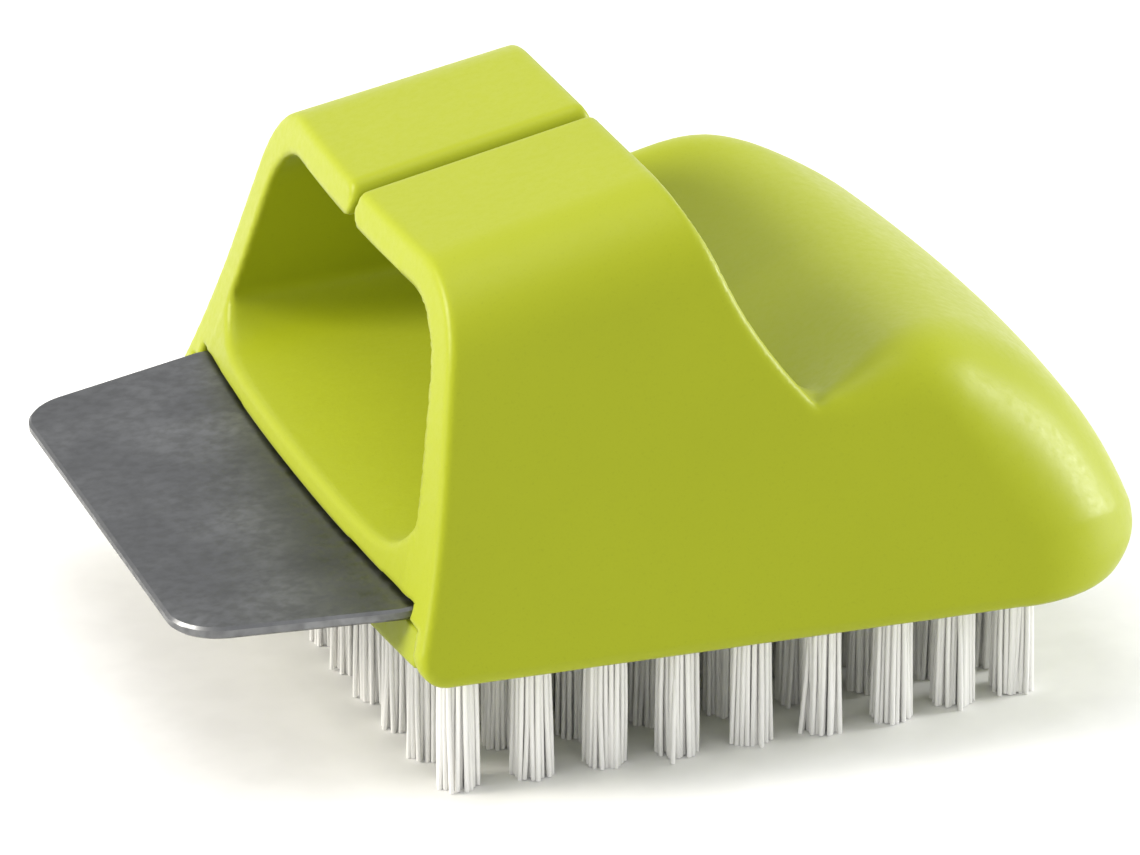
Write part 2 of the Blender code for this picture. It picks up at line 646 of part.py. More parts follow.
def base_plate():
    """The brush block over the tuft slices, with a sloping pad under the tang of the scraper."""
    wall = SKIRT_WALL + GAP
    levels = (BLOCK_BOTTOM + SLICE + GAP, BLOCK_TOP)
    rings = [outline(z, side=wall, rear=wall, front=BLOCK_RECESS) for z in levels]
    plate = loft("base_plate", rings, parts)
    step = front_step("plate_step", BLOCK_STEP, BLADE_LEVEL - BLADE_THICKNESS - GAP)
    combine(plate, "DIFFERENCE", step)
    pad = blade_plane(
        "tang_pad",
        FRONT_BOW + BLOCK_RECESS,
        BLOCK_STEP + GAP,
        BLADE_ROOT_HALF,
        -BLADE_THICKNESS - GAP,
        2 * BLADE_THICKNESS,
        cutters,
    )
    combine(plate, "UNION", pad)
    for i, side in enumerate((-1, 1)):
        socket = cylinder(
            f"peg_socket_{i + 1}",
            PEG_RADIUS + GAP,
            PEG_X,
            side * PEG_Y,
            BLADE_LEVEL - PEG_DEPTH - GAP,
            BLADE_LEVEL + OVERRUN,
            cutters,
        )
        combine(plate, "DIFFERENCE", socket)
    high = BLOCK_TOP + OVERRUN
    for i, (x, y) in enumerate(SCREW_PLACES):
        hole = cylinder(f"screw_hole_{i + 1}", SCREW_SHANK + GAP, x, y, 0.0, high, cutters)
        room = SCREW_HEAD + HEAD_CLEARANCE
        seat = cylinder(f"screw_seat_{i + 1}", room, x, y, 0.0, SCREW_SEAT, cutters)
        combine(plate, "DIFFERENCE", hole, seat)
    plate.data.materials.append(material("block_green_plastic", (0.36, 0.43, 0.03), 0.42))
    return plate


def scraper_blade():
    """A flat plate with rounded tip corners, drawn level and then laid on its slope."""
    tip, corner = -BLADE_REACH, BLADE_TIP_CORNER
    edge = math.atan2(BLADE_ROOT_HALF - BLADE_TIP_HALF, BLADE_REACH)
    centre_x = tip + corner
    line_y = BLADE_TIP_HALF + corner * math.tan(edge)
    centre_y = line_y - corner / math.cos(edge)
    half = [
        (TANG_LENGTH, BLADE_ROOT_HALF - TANG_CORNER),
        (TANG_LENGTH - TANG_CORNER, BLADE_ROOT_HALF),
        (0.0, BLADE_ROOT_HALF),
    ]
    for step in range(TIP_STEPS + 1):
        angle = math.pi / 2 + edge + (math.pi / 2 - edge) * step / TIP_STEPS
        half.append((centre_x + corner * math.cos(angle), centre_y + corner * math.sin(angle)))
    points = half + [(x, -y) for x, y in half[::-1]]
    blade = prism("scraper_blade", points, -BLADE_THICKNESS, 0.0, parts, axis="z")
    bevel = blade.modifiers.new("eased edges", "BEVEL")
    bevel.width = BLADE_EDGE
    bevel.segments = 1
    bevel.limit_method = "ANGLE"
    bevel.angle_limit = BEVEL_ANGLE
    for i, side in enumerate((-1, 1)):
        hole = cylinder(
            f"tang_hole_{i + 1}", PEG_RADIUS + GAP, PEG_X, side * PEG_Y, -OVERRUN, OVERRUN, cutters
        )
        turn_to_slope(hole)
        combine(blade, "DIFFERENCE", hole)
    turn_to_slope(blade)
    blade.data.materials.append(material("brushed_stainless", (0.30, 0.30, 0.30), 0.36, 1.0))
    return blade


def turn_to_slope(obj):
    obj.rotation_euler.y = -math.atan(BLADE_SLOPE)
    obj.location.z = BLADE_LEVEL


def screw(name, x, y, finish):
    """A round-headed self-tapping screw, turned about its axis, head down, with a cross recess."""
    profile = [
        (0.0, SCREW_LENGTH),
        (SCREW_SHANK, SCREW_LENGTH - SCREW_POINT),
        (SCREW_SHANK, 0.0),
        (SCREW_HEAD, 0.0),
        (SCREW_HEAD, -SCREW_HEAD_HEIGHT / 2),
        (SCREW_HEAD_FLAT, -SCREW_HEAD_HEIGHT),
        (0.0, -SCREW_HEAD_HEIGHT),
    ]
    mesh = bpy.data.meshes.new(name)
    edges = [(i, i + 1) for i in range(len(profile) - 1)]
    mesh.from_pydata([(r, 0.0, z) for r, z in profile], edges, [])
    obj = new_object(name, mesh, parts)
    obj.location.x += x
    obj.location.y = y
    obj.location.z = SCREW_SEAT - GAP
    turned = obj.modifiers.new("turned", "SCREW")
    turned.steps = turned.render_steps = SCREW_STEPS
    turned.use_merge_vertices = True
    turned.merge_threshold = SCREW_MERGE
    turned.use_smooth_shade = True
    long, wide = SCREW_CROSS / 2, SCREW_CROSS_WIDTH / 2
    deep = -SCREW_HEAD_HEIGHT + SCREW_CROSS_DEPTH
    for i, (a, b) in enumerate(((long, wide), (wide, long))):
        cut = box(f"{name}_recess_{i + 1}", (-a, -b, -OVERRUN), (a, b, deep), cutters)
        cut.location = obj.location
        combine(obj, "DIFFERENCE", cut)
    obj.data.materials.append(finish)
    return obj


def tuft_places(row):
    """The tufts of one row, which bows forward at the front and back at the rear."""
    share = 2 * row / (TUFT_ROWS - 1) - 1
    draw = 1 - REAR_DRAW_SHARES[row]
    for column in range(TUFT_COLUMNS):
        across = 2 * column / (TUFT_COLUMNS - 1) - 1
        x = TUFT_FIRST + TUFT_PITCH * row + TUFT_BOW * share * (1 - across**2)
        if share > 0:
            x -= TUFT_BOW * share**4
        yield x, across * TUFT_HALF_SPAN * draw


def strands(name, row):
    """Five four-sided strands to a tuft, spreading a little to tips cut flat on the floor. The
    tufts are turned one by one, those of one side as the mirror image of the other's."""
    shape = bmesh.new()
    middle = TUFT_COLUMNS // 2
    for column, (x, y) in enumerate(tuft_places(row)):
        number = abs(column - middle)
        hand = (column > middle) - (column < middle)
        twist = hand * TUFT_TURN * ((number * TURN_BY_TUFT + row * TURN_BY_ROW) % TURNS)
        starts = [(0.0, 0.0)]
        for k in range(RING_STRANDS):
            angle = twist + 2 * math.pi * k / RING_STRANDS
            starts.append((TUFT_RING * math.cos(angle), TUFT_RING * math.sin(angle)))
        for dx, dy in starts:
            ends = []
            for spread, z in ((1.0, BLOCK_BOTTOM + STRAND_SINK), (SPLAY_SHARE, 0.0)):
                ring = []
                for side in range(STRAND_SIDES):
                    angle = twist + 2 * math.pi * (side + 0.5) / STRAND_SIDES
                    px = x + spread * dx + STRAND_RADIUS * math.cos(angle)
                    py = y + spread * dy + STRAND_RADIUS * math.sin(angle)
                    ring.append(shape.verts.new((px, py, z)))
                ends.append(ring)
            top, tip = ends
            shape.faces.new(top)
            shape.faces.new(tip[::-1])
            for i in range(STRAND_SIDES):
                j = (i + 1) % STRAND_SIDES
                shape.faces.new((top[j], top[i], tip[i], tip[j]))
    return from_bmesh(name, shape, cutters)


def bristle_row(row, finish):
    """A row of tufts on its own slice of the block's underside."""
    wall = SKIRT_WALL + GAP
    levels = (BLOCK_BOTTOM, BLOCK_BOTTOM + SLICE)
    rings = [outline(z, side=wall, rear=wall, front=BLOCK_RECESS) for z in levels]
    middle = TUFT_FIRST + TUFT_PITCH * row
    start = middle - (TUFT_PITCH - GAP) / 2 if row else -OVERRUN
    end = middle + (TUFT_PITCH - GAP) / 2 if row < TUFT_ROWS - 1 else BODY_LENGTH + OVERRUN
    obj = loft(f"bristle_row_{row + 1}", rings, parts)
    reach = HALF_WIDTH + OVERRUN
    band = box(f"band_{row + 1}", (start, -reach, 0.0), (end, reach, BLOCK_TOP), cutters)
    combine(obj, "INTERSECT", band)
    for i, (x, y) in enumerate(SCREW_PLACES):
        if start - SCREW_HEAD < x < end + SCREW_HEAD:
            name = f"row_{row + 1}_screw_way_{i + 1}"
            way = cylinder(name, SCREW_HEAD + HEAD_CLEARANCE, x, y, 0.0, BLOCK_TOP, cutters)
            combine(obj, "DIFFERENCE", way)
    combine(obj, "UNION", strands(f"strands_{row + 1}", row))
    obj.data.materials.append(finish)
    return obj


for old in list(bpy.data.objects):
    bpy.data.objects.remove(old)
parts = bpy.data.collections.new("salt_block_brush")
cutters = bpy.data.collections.new("cutters")
bpy.context.scene.collection.children.link(parts)
bpy.context.scene.collection.children.link(cutters)

handle_shell()
base_plate()
scraper_blade()
zinc = material("zinc_steel", (0.55, 0.55, 0.53), 0.35, 1.0)
for number, (screw_x, screw_y) in enumerate(SCREW_PLACES):
    screw(f"block_screw_{number + 1}", screw_x, screw_y, zinc)
nylon = material("white_nylon", (0.80, 0.80, 0.77), 0.45)
for row_number in range(TUFT_ROWS):
    bristle_row(row_number, nylon)
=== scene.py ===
# %% [markdown]
# # A palm brush for salt blocks
#
# The real brush is a lime-green moulded handle with a split finger loop in front and a dished palm
# rest behind, a stainless scraper that sticks out under the loop, and a field of nylon tufts below.
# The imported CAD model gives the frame: where every piece is and how big. This lesson builds the
# looks around it. Shapes are drawn in millimetres from a datum near the front face, and each
# finished mesh is turned into metres and moved to where the CAD has it.

# %% Load the frame
import math

import bpy
import numpy as np
from mathutils import Matrix, Vector


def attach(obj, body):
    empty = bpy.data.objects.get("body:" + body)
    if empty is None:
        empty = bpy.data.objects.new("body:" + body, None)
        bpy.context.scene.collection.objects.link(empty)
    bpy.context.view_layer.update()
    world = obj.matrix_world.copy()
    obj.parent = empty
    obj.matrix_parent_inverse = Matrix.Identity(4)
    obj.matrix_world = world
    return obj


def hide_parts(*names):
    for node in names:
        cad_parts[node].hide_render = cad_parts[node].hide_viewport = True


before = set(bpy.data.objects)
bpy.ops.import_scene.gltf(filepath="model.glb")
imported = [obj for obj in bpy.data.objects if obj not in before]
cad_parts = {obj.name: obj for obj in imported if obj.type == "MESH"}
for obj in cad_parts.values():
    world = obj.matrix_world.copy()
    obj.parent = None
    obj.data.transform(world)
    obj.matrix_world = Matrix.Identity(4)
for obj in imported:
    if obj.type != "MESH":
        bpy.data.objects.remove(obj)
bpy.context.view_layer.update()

# %% [markdown]
# ## The camera
#
# A photograph fixes its camera once a few lengths on the object are known. The rows of tufts and
# the mirror symmetry of the handle were enough here: the camera looks from the side and a little
# from the front, from 23 degrees above, through a long lens. A long lens keeps the near and far
# edges almost parallel, which is how such objects are usually photographed.

# %% Place the camera
AZIMUTH = math.radians(-19.352)
ELEVATION = math.radians(22.741)
FOCAL_PIXELS = 6863.0
PHOTO_WIDTH = 1140.0
SENSOR = 36.0
DISTANCE = 0.8463
TARGET = Vector((0.00055, 0.0, 0.02405))

back = Vector((
    math.sin(AZIMUTH) * math.cos(ELEVATION),
    -math.cos(AZIMUTH) * math.cos(ELEVATION),
    math.sin(ELEVATION),
))
right = Vector((math.cos(AZIMUTH), math.sin(AZIMUTH), 0.0))
up = back.cross(right)
camera = bpy.data.objects.new("camera", bpy.data.cameras.new("camera"))
bpy.context.scene.collection.objects.link(camera)
camera.data.sensor_width = SENSOR
camera.data.lens = FOCAL_PIXELS / PHOTO_WIDTH * SENSOR
camera.data.clip_start = 0.05
camera.data.clip_end = 20.0
camera.data.dof.use_dof = False
axes = Matrix((right, up, back)).transposed().to_4x4()
camera.matrix_world = Matrix.Translation(TARGET + back * DISTANCE) @ axes
bpy.context.scene.camera = camera
print(f"camera {camera.data.lens:.0f} mm lens at {DISTANCE} m")

# %% [markdown]
# ## The handle's main lines
#
# A moulded handle is a few leaning faces joined by rounds. Each face is a formula: the side walls
# lean in as they rise, the front leans back, the top of the loop climbs to the rear, the palm rest
# is a squarish quarter round, and the dish is a curve along the middle and another along the walls.
# Most of these lines are the CAD model's. The palm rest is drawn a little shallower than in CAD,
# its rear corners rounder, and the front face swept forward towards its foot. The datum lies
# 35.1 mm in front of the frame's middle.

# %% Lengths in millimetres
BODY_LENGTH = 95.26
HALF_WIDTH = 50.6
SKIRT_BOTTOM = 16.2
SIDE_TAPER = 0.036
WALL_FLARE = 0.39
BLADE_LEVEL = 22.7
FRONT_LEAN = 0.232
FRONT_BOW = 1.7
FRONT_SWEEP = 0.0036
FRONT_SWEEP_FROM = 38.0
SKIRT_DROP = 0.9
SKIRT_CORNER = 3.0
REAR_TUCK = 2.6
REAR_TUCK_HEIGHT = 4.3
REAR_CORNER = 17.5
REAR_BOW = 1.4
HUMP_TOP = 46.5
HUMP_LIFT = 5.0
CHEEK_BOW = 2.5
HUMP_LENGTH = 32.7
HUMP_LOW = 20.5
HUMP_ROUNDNESS = 1.9
CORNER_LEAST = 3.6
SHOULDER_AT = (48.0, 52.0, 56.0, 60.0, 66.0, 76.0, 88.0)
SHOULDER_BLENDS = (0.0, 1.5, 4.0, 5.5, 8.0, 13.0, 16.0)
DISH_FLOOR = 26.0
DISH_RIDGE = 41.2
LOOP_TOP = 59.2
LOOP_TOP_AT = 8.6
LOOP_RISE = 0.219
LOOP_CORNER = 15.0
LOOP_END = 37.9
LOOP_THICKNESS = 4.4
LOOP_FOOT = 51.8
TUNNEL_HALF_WIDTH = 37.628
TUNNEL_WIDTH_AT = 31.0
TUNNEL_FLARE = 0.33
TUNNEL_CORNER = 11.0
SPLIT_WIDTH = 1.2
SPLIT_EDGE = 2.15
BLADE_REACH = 25.1
BLADE_ROOT_HALF = 42.3
BLADE_THICKNESS = 1.5
BLADE_SLOPE = 0.0757
MIDDLE_X = 35.1
HUMP_CENTRE = BODY_LENGTH - HUMP_LENGTH

DISH_RUN = (-0.15, 0.00, 0.25, 0.37, 0.48, 0.58, 0.68, 0.755, 0.83, 1.10)
DISH_CLIMB = (-0.02, 0.00, 0.11, 0.20, 0.40, 0.68, 0.88, 0.965, 1.02, 1.45)
RIDGE_RUN = (-0.15, 0.53, 0.567, 0.609, 0.651, 0.693, 0.735, 0.80, 0.87, 1.10)
RIDGE_CLIMB = (0.74, 0.745, 0.82, 0.90, 0.98, 1.04, 1.08, 1.10, 1.10, 1.08)
DISH_POWER_AT = (0.40, 0.55, 0.65, 0.78)
DISH_POWERS = (12.0, 5.0, 2.4, 2.2)
ACROSS_MOST = 1.08
FOOT_FALL = (-0.30, 0.00, 0.25, 0.43, 0.56, 0.675, 0.77, 0.865, 0.94, 1.00, 1.50)
FOOT_RUN = (-0.26, 0.00, 0.22, 0.35, 0.455, 0.57, 0.68, 0.80, 0.91, 1.00, 1.90)


# %% Curves that those lines follow
def smooth_through(x, xs, zs):
    """A cubic between neighbouring points xs, zs, with slopes that never overshoot them."""
    xs, zs = np.asarray(xs, float), np.asarray(zs, float)
    steps = np.diff(xs)
    slopes = np.diff(zs) / steps
    both = slopes[:-1] * slopes[1:]
    middle = np.where(both > 0, 2 * both / np.where(both > 0, slopes[:-1] + slopes[1:], 1), 0)
    tangents = np.concatenate([slopes[:1], middle, slopes[-1:]])
    x = np.clip(x, xs[0], xs[-1])
    i = np.clip(np.searchsorted(xs, x) - 1, 0, len(steps) - 1)
    t = (x - xs[i]) / steps[i]
    start = (2 * t**3 - 3 * t**2 + 1) * zs[i] + (t**3 - 2 * t**2 + t) * steps[i] * tangents[i]
    end = (3 * t**2 - 2 * t**3) * zs[i + 1] + (t**3 - t**2) * steps[i] * tangents[i + 1]
    return start + end


def ease(t):
    """0 to 1 with a level start and end: three squares less two cubes."""
    t = np.clip(t, 0, 1)
    return t * t * (3 - 2 * t)


def half_width(x, z):
    """Half the width: wider towards the rear, narrower as the walls rise."""
    return HALF_WIDTH + SIDE_TAPER * x - WALL_FLARE * (z - SKIRT_BOTTOM)


def front_x(y, z):
    """The front face: back as it rises, forward in the middle by the square of y, and swept forward
    below a level by the square of the depth under it."""
    sweep = FRONT_SWEEP * np.maximum(FRONT_SWEEP_FROM - z, 0) ** 2
    return FRONT_LEAN * (z - BLADE_LEVEL) + FRONT_BOW * (y / BLADE_ROOT_HALF) ** 2 - sweep


def loop_top(x):
    """The loop's flat top, a straight climb to the rear."""
    return LOOP_TOP + LOOP_RISE * (x - LOOP_TOP_AT)


def loop_rear(z):
    """The loop's rear edge seen from the side, read from shares of its fall and its run."""
    top = loop_top(LOOP_END)
    runs = smooth_through((top - z) / (top - DISH_RIDGE), FOOT_FALL, FOOT_RUN)
    return LOOP_END + runs * (LOOP_FOOT - LOOP_END)


def climb(x, runs, climbs):
    """A height along the dish, read from shares of its run and its climb."""
    return DISH_FLOOR + smooth_through(x / BODY_LENGTH, runs, climbs) * (HUMP_TOP - DISH_FLOOR)


def dish_height(x, y):
    """Middle line plus the ridge's rise times a power of the distance from the middle."""
    along = x + REAR_BOW * ease(x / BODY_LENGTH) * (y / HALF_WIDTH) ** 2
    middle = climb(along, DISH_RUN, DISH_CLIMB)
    ridge = climb(along, RIDGE_RUN, RIDGE_CLIMB)
    power = np.interp(along / BODY_LENGTH, DISH_POWER_AT, DISH_POWERS)
    reach = half_width(x, climb(x, RIDGE_RUN, RIDGE_CLIMB))
    across = np.minimum(np.abs(y) / reach, ACROSS_MOST)
    return middle + (ridge - middle) * across**power


# %% [markdown]
# ## Faces and rounds
#
# The handle could be lofted and cut with Booleans, as in CAD, but then every edge needs its own
# bevel. Here it is made from distances instead. For every point of space a face gives how far the
# point is outside it, and which way is out. Two faces joined over an edge of a given radius give
# again a distance and a direction, so rounds can be nested as freely as the faces.

# %% Distances to faces, and rounds between them
SMALL_STEP = 0.02
LEAST_SLOPE = 0.001
LEAST_STEEP = 0.3
MOST_COSINE = 0.995
LEAST_SQUARE = 1e-12


def face(formula, x, y, z):
    """A formula that is below zero inside, over its own slope: the distance, then the direction."""
    value = formula(x, y, z)
    steps = [
        (formula(x + SMALL_STEP, y, z) - value) / SMALL_STEP,
        (formula(x, y + SMALL_STEP, z) - value) / SMALL_STEP,
        (formula(x, y, z + SMALL_STEP) - value) / SMALL_STEP,
    ]
    steep = np.maximum(np.sqrt(steps[0] ** 2 + steps[1] ** 2 + steps[2] ** 2), LEAST_SLOPE)
    return np.stack(np.broadcast_arrays(value, *steps)) / steep


def either(a, b):
    """The farther of two distances: the space inside both faces, with a sharp edge."""
    return np.where(a[0] > b[0], a, b)


def joined(a, b, radius):
    """The space inside both faces, with an edge of that radius.

    A point near the edge is written as steps along the two outward directions from the round's
    axis. Where both steps are positive the distance is the length of their sum less the radius.
    """
    a, b = np.broadcast_arrays(a, b)
    cosine = np.clip((a[1:] * b[1:]).sum(axis=0), -MOST_COSINE, MOST_COSINE)
    spare = 1 - cosine**2
    p, q = a[0] + radius, b[0] + radius
    along_a, along_b = (p - cosine * q) / spare, (q - cosine * p) / spare
    square = along_a**2 + along_b**2 + 2 * cosine * along_a * along_b
    length = np.sqrt(np.maximum(square, LEAST_SQUARE))
    turned = np.concatenate([[length - radius], (along_a * a[1:] + along_b * b[1:]) / length])
    return np.where((along_a > 0) & (along_b > 0), turned, either(a, b))


def softened(a, b, blend):
    """The space inside both faces, with an edge that eases from one to the other wherever their
    distances differ by less than the blend: the larger one plus a square of what is left of it."""
    a, b = np.broadcast_arrays(a, b)
    left = np.maximum(blend - np.abs(a[0] - b[0]), 0)
    share = np.clip(0.5 + (a[0] - b[0]) / (2 * blend), 0, 1)
    out = share * a[1:] + (1 - share) * b[1:]
    steep = np.maximum(np.sqrt((out**2).sum(axis=0)), LEAST_STEEP)
    value = np.maximum(a[0], b[0]) + left**2 / (4 * blend)
    return np.concatenate([[value / steep], out / steep])


def merged(a, b, radius):
    """The space inside either of two solids, with a hollow round of that radius between them."""
    return -joined(-a, -b, radius)


# %% [markdown]
# ## From distances to a mesh
#
# The surface lies where the distance is zero. Space is cut into cells, each cell that the surface
# passes through gets one point, and each grid line that crosses the surface gets one quad between
# the four cells round it. The points are then moved onto the surface along the outward direction,
# and spread evenly over it. All of it is done on whole arrays.

# %% A mesher for distance fields
SLAB = 24
PULL_ROUNDS = 3
SPREAD_ROUNDS = 4
SPREAD_SHARE = 0.5


def sampled(field, xs, ys, zs):
    """The distance at every grid point, worked out in slabs along x to save memory."""
    slabs = []
    for first in range(0, len(xs), SLAB):
        x = xs[first : first + SLAB, None, None]
        slabs.append(field(x, ys[None, :, None], zs[None, None, :])[0])
    return np.concatenate(slabs)


def crossed_cells(values, lines):
    """For every cell: how many of its edges the surface crosses, and the mean of the crossings."""
    inside = values < 0
    cells = tuple(n - 1 for n in values.shape)
    count, total = np.zeros(cells), np.zeros((3, *cells))
    for axis in range(3):
        low = [slice(None)] * 3
        high = [slice(None)] * 3
        low[axis], high[axis] = slice(None, -1), slice(1, None)
        low, high = tuple(low), tuple(high)
        crossed = inside[low] != inside[high]
        share = values[low] / np.where(crossed, values[low] - values[high], 1)
        place = []
        for i, line in enumerate(lines):
            shape = [1, 1, 1]
            shape[i] = -1
            start = line[:-1] if i == axis else line
            step = np.diff(line).reshape(shape) * share if i == axis else 0
            place.append(start.reshape(shape) + step)
        others = [i for i in range(3) if i != axis]
        for a in (0, 1):
            for b in (0, 1):
                part = [slice(None)] * 3
                part[others[0]] = slice(a, a + cells[others[0]])
                part[others[1]] = slice(b, b + cells[others[1]])
                part = tuple(part)
                count += crossed[part]
                for i in range(3):
                    whole = np.broadcast_to(place[i], crossed.shape)[part]
                    total[i] += whole * crossed[part]
    return count, total


def quads_between(values, index):
    """One quad round each crossed grid edge, turned to face out of the solid."""
    inside = values < 0
    quads = []
    for axis in range(3):
        u, v = (axis + 1) % 3, (axis + 2) % 3
        edges = np.moveaxis(inside, (axis, u, v), (0, 1, 2))
        cells = np.moveaxis(index, (axis, u, v), (0, 1, 2))
        low, high = edges[:-1, 1:-1, 1:-1], edges[1:, 1:-1, 1:-1]
        corners = np.stack([
            cells[:, :-1, :-1], cells[:, 1:, :-1], cells[:, 1:, 1:], cells[:, :-1, 1:],
        ], axis=-1)
        quads.append(corners[low & ~high])
        quads.append(corners[~low & high][:, ::-1])
    return np.concatenate(quads)


def settled(points, quads, field):
    """Points moved onto the surface, and spread by the mean of their neighbours along it."""
    ring = np.concatenate([quads, np.roll(quads, 1, axis=1)])
    first, second = ring[:, ::2].ravel(), ring[:, 1::2].ravel()
    ends, others = np.concatenate([first, second]), np.concatenate([second, first])
    degree = np.bincount(ends, minlength=len(points))
    for _ in range(PULL_ROUNDS):
        near = field(*points.T)
        points = points - (near[0] * near[1:]).T
    for _ in range(SPREAD_ROUNDS):
        mean = np.stack([
            np.bincount(ends, weights=points[others, i], minlength=len(points)) / degree
            for i in range(3)
        ], axis=1)
        out = field(*points.T)[1:].T
        move = mean - points
        points = points + SPREAD_SHARE * (move - (move * out).sum(axis=1, keepdims=True) * out)
        near = field(*points.T)
        points = points - (near[0] * near[1:]).T
    return points


def meshed(field, xs, ys, zs):
    """Points and quads of the surface of a distance field on the grid lines xs, ys, zs."""
    values = sampled(field, xs, ys, zs)
    count, total = crossed_cells(values, (xs, ys, zs))
    used = count > 0
    index = np.full(used.shape, -1)
    index[used] = np.arange(used.sum())
    points = (total[:, used] / count[used]).T
    quads = quads_between(values, index)
    return settled(points, quads, field), quads


def grid_line(*stretches):
    """Grid lines with their own spacing in each stretch: (end, spacing) pairs after the start."""
    start, pairs = stretches[0], stretches[1:]
    line = [np.array([start])]
    for end, spacing in pairs:
        count = max(1, round((end - start) / spacing))
        line.append(np.linspace(start, end, count + 1)[1:])
        start = end
    return np.concatenate(line)


def both_sides(line):
    """The grid lines of one side and their mirror images."""
    return np.concatenate([-line[:0:-1], line])


# %% From millimetres at the datum to a mesh in metres in its place
MM = 0.001


def piece(name, points, faces):
    """A smooth mesh object from points in millimetres and a list or array of faces."""
    points = np.asarray(points, float) * MM
    points[:, 0] -= MIDDLE_X * MM
    mesh = bpy.data.meshes.new(name)
    faces = faces.tolist() if isinstance(faces, np.ndarray) else faces
    mesh.from_pydata(points.tolist(), [], faces)
    mesh.validate()
    mesh.shade_smooth()
    obj = bpy.data.objects.new(name, mesh)
    bpy.context.scene.collection.objects.link(obj)
    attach(obj, "root")
    size = [round(v, 1) for v in (points.max(axis=0) - points.min(axis=0)) / MM]
    print(f"{name}: {len(points)} points, {len(faces)} faces, {size} mm")
    return obj


# %% [markdown]
# ## The handle
#
# The handle is one moulding. The loop is what is left between its outer faces and the tunnel, cut
# behind by a sweeping edge and slit along the top. The body is everything under the dish. Both are
# joined with a small hollow round, and the seat of the brush block is cut out from below.

# %% The handle as a distance field
EDGE = 1.25
MOUTH_EDGE = 0.55
RIDGE_EDGE = 0.4
CREST_BLEND = 3.0
CHEEK_EDGE = 2.0
HOLLOW_RADIUS = 2.4
HOLLOW_LEAST = 0.05
HOLLOW_START = 1.0
HOLLOW_GROWTH = 2.5
POCKET_EDGE = 0.45
SKIRT_WALL = 3.2
GAP = 0.3
SLOT_GAP = 0.55
LEDGE_LEVEL = 24.3
BLOCK_STEP = 17.8
TANG_CLEARANCE = 0.5
INNER_EDGE = 0.1
FIRST_RUN = 0.5
RUN_ROUNDS = 3
MOST_SHARE = 0.999
MOST_TUCK = 2
LEAST_ROUND = 1e-9


def hump_height(run, y):
    """The hump's height over its widest level. It gains towards the sides by the square of y, and
    loses that again along the run from its top to its end."""
    lift = HUMP_LIFT * (y / HALF_WIDTH) ** 2 * (1 - np.clip(run, 0, 1)) ** 2
    return HUMP_TOP - HUMP_LOW + lift


def rear_end(y, z):
    """The rear at height z: a squarish quarter round over its widest level, tucked in below. The
    hump's height depends on the run that is looked for, so the run is found in rounds."""
    run = FIRST_RUN
    for _ in range(RUN_ROUNDS):
        share = np.clip((z - HUMP_LOW) / hump_height(run, y), 0, MOST_SHARE) ** HUMP_ROUNDNESS
        run = (1 - share) ** (1 / HUMP_ROUNDNESS)
    end = HUMP_CENTRE + HUMP_LENGTH * run
    tuck = REAR_TUCK * np.clip((HUMP_LOW - z) / REAR_TUCK_HEIGHT, 0, MOST_TUCK) ** 2
    return end, tuck


def rear(x, y, z):
    """A squarish round about the hump's axis, bowed forward at the sides by the square of y, most
    of all half way up."""
    level = np.clip((z - HUMP_LOW) / (HUMP_TOP - HUMP_LOW), 0, 1)
    bow = REAR_BOW + CHEEK_BOW * 4 * level * (1 - level)
    bowed = x + bow * (y / half_width(x, z)) ** 2
    run = np.maximum(bowed - HUMP_CENTRE, 0) / HUMP_LENGTH
    rise = np.maximum(z - HUMP_LOW, 0) / hump_height(run, y)
    out = (run**HUMP_ROUNDNESS + rise**HUMP_ROUNDNESS + LEAST_ROUND) ** (1 / HUMP_ROUNDNESS)
    return (out - 1) * HUMP_LENGTH


def plan(x, y, z, inset=0.0):
    """Outside the walls and the rear, measured level: the rear's corners are rounds whose axis
    stands still, so that their radius shrinks as the rear comes forward."""
    end, tuck = rear_end(y, z)
    width = half_width(x, z)
    wall = np.abs(y) - width + inset
    behind = x + REAR_BOW * (y / width) ** 2 - end + tuck + inset
    radius = np.maximum(end - BODY_LENGTH + REAR_CORNER, CORNER_LEAST) - inset
    p, q = wall + radius, behind + radius
    corner = np.sqrt(np.maximum(p, 0) ** 2 + np.maximum(q, 0) ** 2) - radius
    return np.where((p > 0) & (q > 0), corner, np.maximum(wall, behind))


def blade_top(x):
    """The scraper's top face, which falls a little towards its tip."""
    return BLADE_LEVEL + BLADE_SLOPE * x


def pocket(x, y, z):
    """The seat of the brush block, with a slot over it for the scraper's root."""
    sides = face(lambda x, y, z: plan(x, y, z, SKIRT_WALL), x, y, z)
    low = face(lambda x, y, z: z - (BLADE_LEVEL - BLADE_THICKNESS), x, y, z)
    slot = face(lambda x, y, z: z - blade_top(x) - SLOT_GAP, x, y, z)
    slot_side = face(lambda x, y, z: np.abs(y) - BLADE_ROOT_HALF - TANG_CLEARANCE, x, y, z)
    slot_end = face(lambda x, y, z: x - BLOCK_STEP, x, y, z)
    ledge = face(lambda x, y, z: z - LEDGE_LEVEL, x, y, z)
    ledge_start = face(lambda x, y, z: BLOCK_STEP - GAP - x, x, y, z)
    slot = either(either(slot, slot_side), slot_end)
    ledge = either(ledge, ledge_start)
    low, slot, ledge = np.broadcast_arrays(low, slot, ledge)
    return either(sides, merged(merged(low, slot, INNER_EDGE), ledge, INNER_EDGE))


